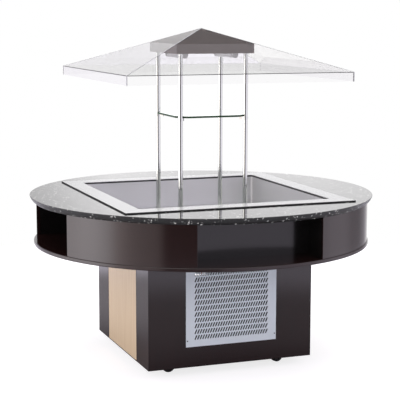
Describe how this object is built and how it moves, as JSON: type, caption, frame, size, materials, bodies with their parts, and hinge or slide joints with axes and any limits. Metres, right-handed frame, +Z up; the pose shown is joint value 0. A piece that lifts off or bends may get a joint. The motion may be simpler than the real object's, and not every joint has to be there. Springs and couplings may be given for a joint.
{
  "type": "salad bar",
  "caption": "Round chilled salad bar on a square base with casters: stone counter, square steel cold well, shelf cubbies, posts with a glass shelf and a clear pyramid canopy.",
  "frame": {"origin": "on the floor below the centre of the round counter", "axes": "+Z up, -Y out of the front, which carries the condenser's grille, +X to the right of someone facing the front"},
  "size_m": [1.899, 1.8989, 1.8199],
  "materials": {
    "granite": "polished, black with pale flecks",
    "black_rubber": "matte",
    "stainless": "brushed",
    "black_plastic": "satin",
    "foam": "rigid foam",
    "galvanised": "zinc coated",
    "copper": "bare copper",
    "brass": "plain",
    "lever_paint": "gloss",
    "shelf_glass": "clear with a green edge",
    "taupe_paint": "satin",
    "lamp_paint": "satin",
    "diffuser": "milky",
    "dark_laminate": "gloss dark wood laminate",
    "black_laminate": "gloss black laminate",
    "black_paint": "satin",
    "pale_maple": "satin",
    "grille_paint": "satin pale grey",
    "screw_black": "satin",
    "fin_aluminium": "plain",
    "switch_plastic": "gloss",
    "zinc": "zinc plated",
    "post_chrome": "polished",
    "canopy_glass": "clear"
  },
  "bodies": {
    "cabinet": {"base_frame": "black_paint", "base_panel_back": "dark_laminate", "base_panel_front": "dark_laminate", "base_panel_left": "dark_laminate", "base_panel_right": "dark_laminate", "breaker_strip": "black_plastic", "cable_gland": "black_plastic", "canopy_cap": "taupe_paint", "canopy_pane_back": "canopy_glass", "canopy_pane_front": "canopy_glass", "canopy_pane_left": "canopy_glass", "canopy_pane_right": "canopy_glass", "compressor": "black_paint", "condenser": "black_paint", "control_panel": "black_plastic", "cubby_walls": "black_laminate", "drain_plate": "stainless", "drain_valve": "brass", "drum_bottom_board": "dark_laminate", "drum_panel_back_left": "dark_laminate", "drum_panel_back_right": "dark_laminate", "drum_panel_front_left": "dark_laminate", "drum_panel_front_right": "dark_laminate", "evaporator_coil": "copper", "fan_motor": "black_paint", "fan_shroud": "black_paint", "gantry_plate": "taupe_paint", "glass_shelf": "shelf_glass", "grille_back": "grille_paint", "grille_front": "grille_paint", "grille_screws": "screw_black", "inlay_panels": "pale_maple", "lamp_bodies": "lamp_paint", "lamp_tubes": "diffuser", "post_back_left": "post_chrome", "post_back_right": "post_chrome", "post_front_left": "post_chrome", "post_front_right": "post_chrome", "refrigerant_pipes": "copper", "shelf_clips": "post_chrome", "stone_top": "granite", "unit_tray": "galvanised", "well_casing": "galvanised", "well_gasket": "black_rubber", "well_insulation": "foam", "well_rim": "stainless", "well_tank": "stainless"},
    "valve_lever": {"drain_valve_lever": "lever_paint"},
    "knob": {"thermostat_knob": "black_plastic"},
    "cooling_rocker": {"cooling_switch": "switch_plastic"},
    "light_rocker": {"light_switch": "switch_plastic"},
    "condenser_fan": {"fan_rotor": "fin_aluminium"},
    "caster_front_left": {"caster_fork_front_left": "zinc"},
    "wheel_front_left": {"caster_wheel_front_left": "black_rubber"},
    "caster_front_right": {"caster_fork_front_right": "zinc"},
    "wheel_front_right": {"caster_wheel_front_right": "black_rubber"},
    "caster_back_left": {"caster_fork_back_left": "zinc"},
    "wheel_back_left": {"caster_wheel_back_left": "black_rubber"},
    "caster_back_right": {"caster_fork_back_right": "zinc"},
    "wheel_back_right": {"caster_wheel_back_right": "black_rubber"}
  },
  "joints": [
    {"name": "drain_valve_turn", "type": "hinge", "parent": "cabinet", "child": "valve_lever", "pos_m": [0, -0.0415, 0.568], "axis": [0, 1, 0], "range_deg": [0, 90]},
    {"name": "thermostat_turn", "type": "hinge", "parent": "cabinet", "child": "knob", "pos_m": [0.345, 0.47, 0.392], "axis": [0, -1, 0], "range_deg": [0, 270]},
    {"name": "cooling_switch_rock", "type": "hinge", "parent": "cabinet", "child": "cooling_rocker", "pos_m": [0.373, 0.4625, 0.478], "axis": [1, 0, 0], "range_deg": [0, 20]},
    {"name": "light_switch_rock", "type": "hinge", "parent": "cabinet", "child": "light_rocker", "pos_m": [0.317, 0.4625, 0.478], "axis": [1, 0, 0], "range_deg": [0, 20]},
    {"name": "fan_spin", "type": "hinge", "parent": "cabinet", "child": "condenser_fan", "pos_m": [0, -0.311, 0.321], "axis": [0, 1, 0], "continuous": true},
    {"name": "caster_swivel_front_left", "type": "hinge", "parent": "cabinet", "child": "caster_front_left", "pos_m": [-0.34, -0.34, 0.09], "axis": [0, 0, 1], "continuous": true},
    {"name": "caster_roll_front_left", "type": "hinge", "parent": "caster_front_left", "child": "wheel_front_left", "pos_m": [-0.314, -0.34, 0.0375], "axis": [0, -1, 0], "continuous": true},
    {"name": "caster_swivel_front_right", "type": "hinge", "parent": "cabinet", "child": "caster_front_right", "pos_m": [0.34, -0.34, 0.09], "axis": [0, 0, 1], "continuous": true},
    {"name": "caster_roll_front_right", "type": "hinge", "parent": "caster_front_right", "child": "wheel_front_right", "pos_m": [0.31557, -0.34889, 0.0375], "axis": [-0.342, 0.9397, 0], "continuous": true},
    {"name": "caster_swivel_back_left", "type": "hinge", "parent": "cabinet", "child": "caster_back_left", "pos_m": [-0.34, 0.34, 0.09], "axis": [0, 0, 1], "continuous": true},
    {"name": "caster_roll_back_left", "type": "hinge", "parent": "caster_back_left", "child": "wheel_back_left", "pos_m": [-0.32008, 0.35671, 0.0375], "axis": [0.6428, -0.766, 0], "continuous": true},
    {"name": "caster_swivel_back_right", "type": "hinge", "parent": "cabinet", "child": "caster_back_right", "pos_m": [0.34, 0.34, 0.09], "axis": [0, 0, 1], "continuous": true},
    {"name": "caster_roll_back_right", "type": "hinge", "parent": "caster_back_right", "child": "wheel_back_right", "pos_m": [0.327, 0.36252, 0.0375], "axis": [0.866, 0.5, 0], "continuous": true}
  ]
}
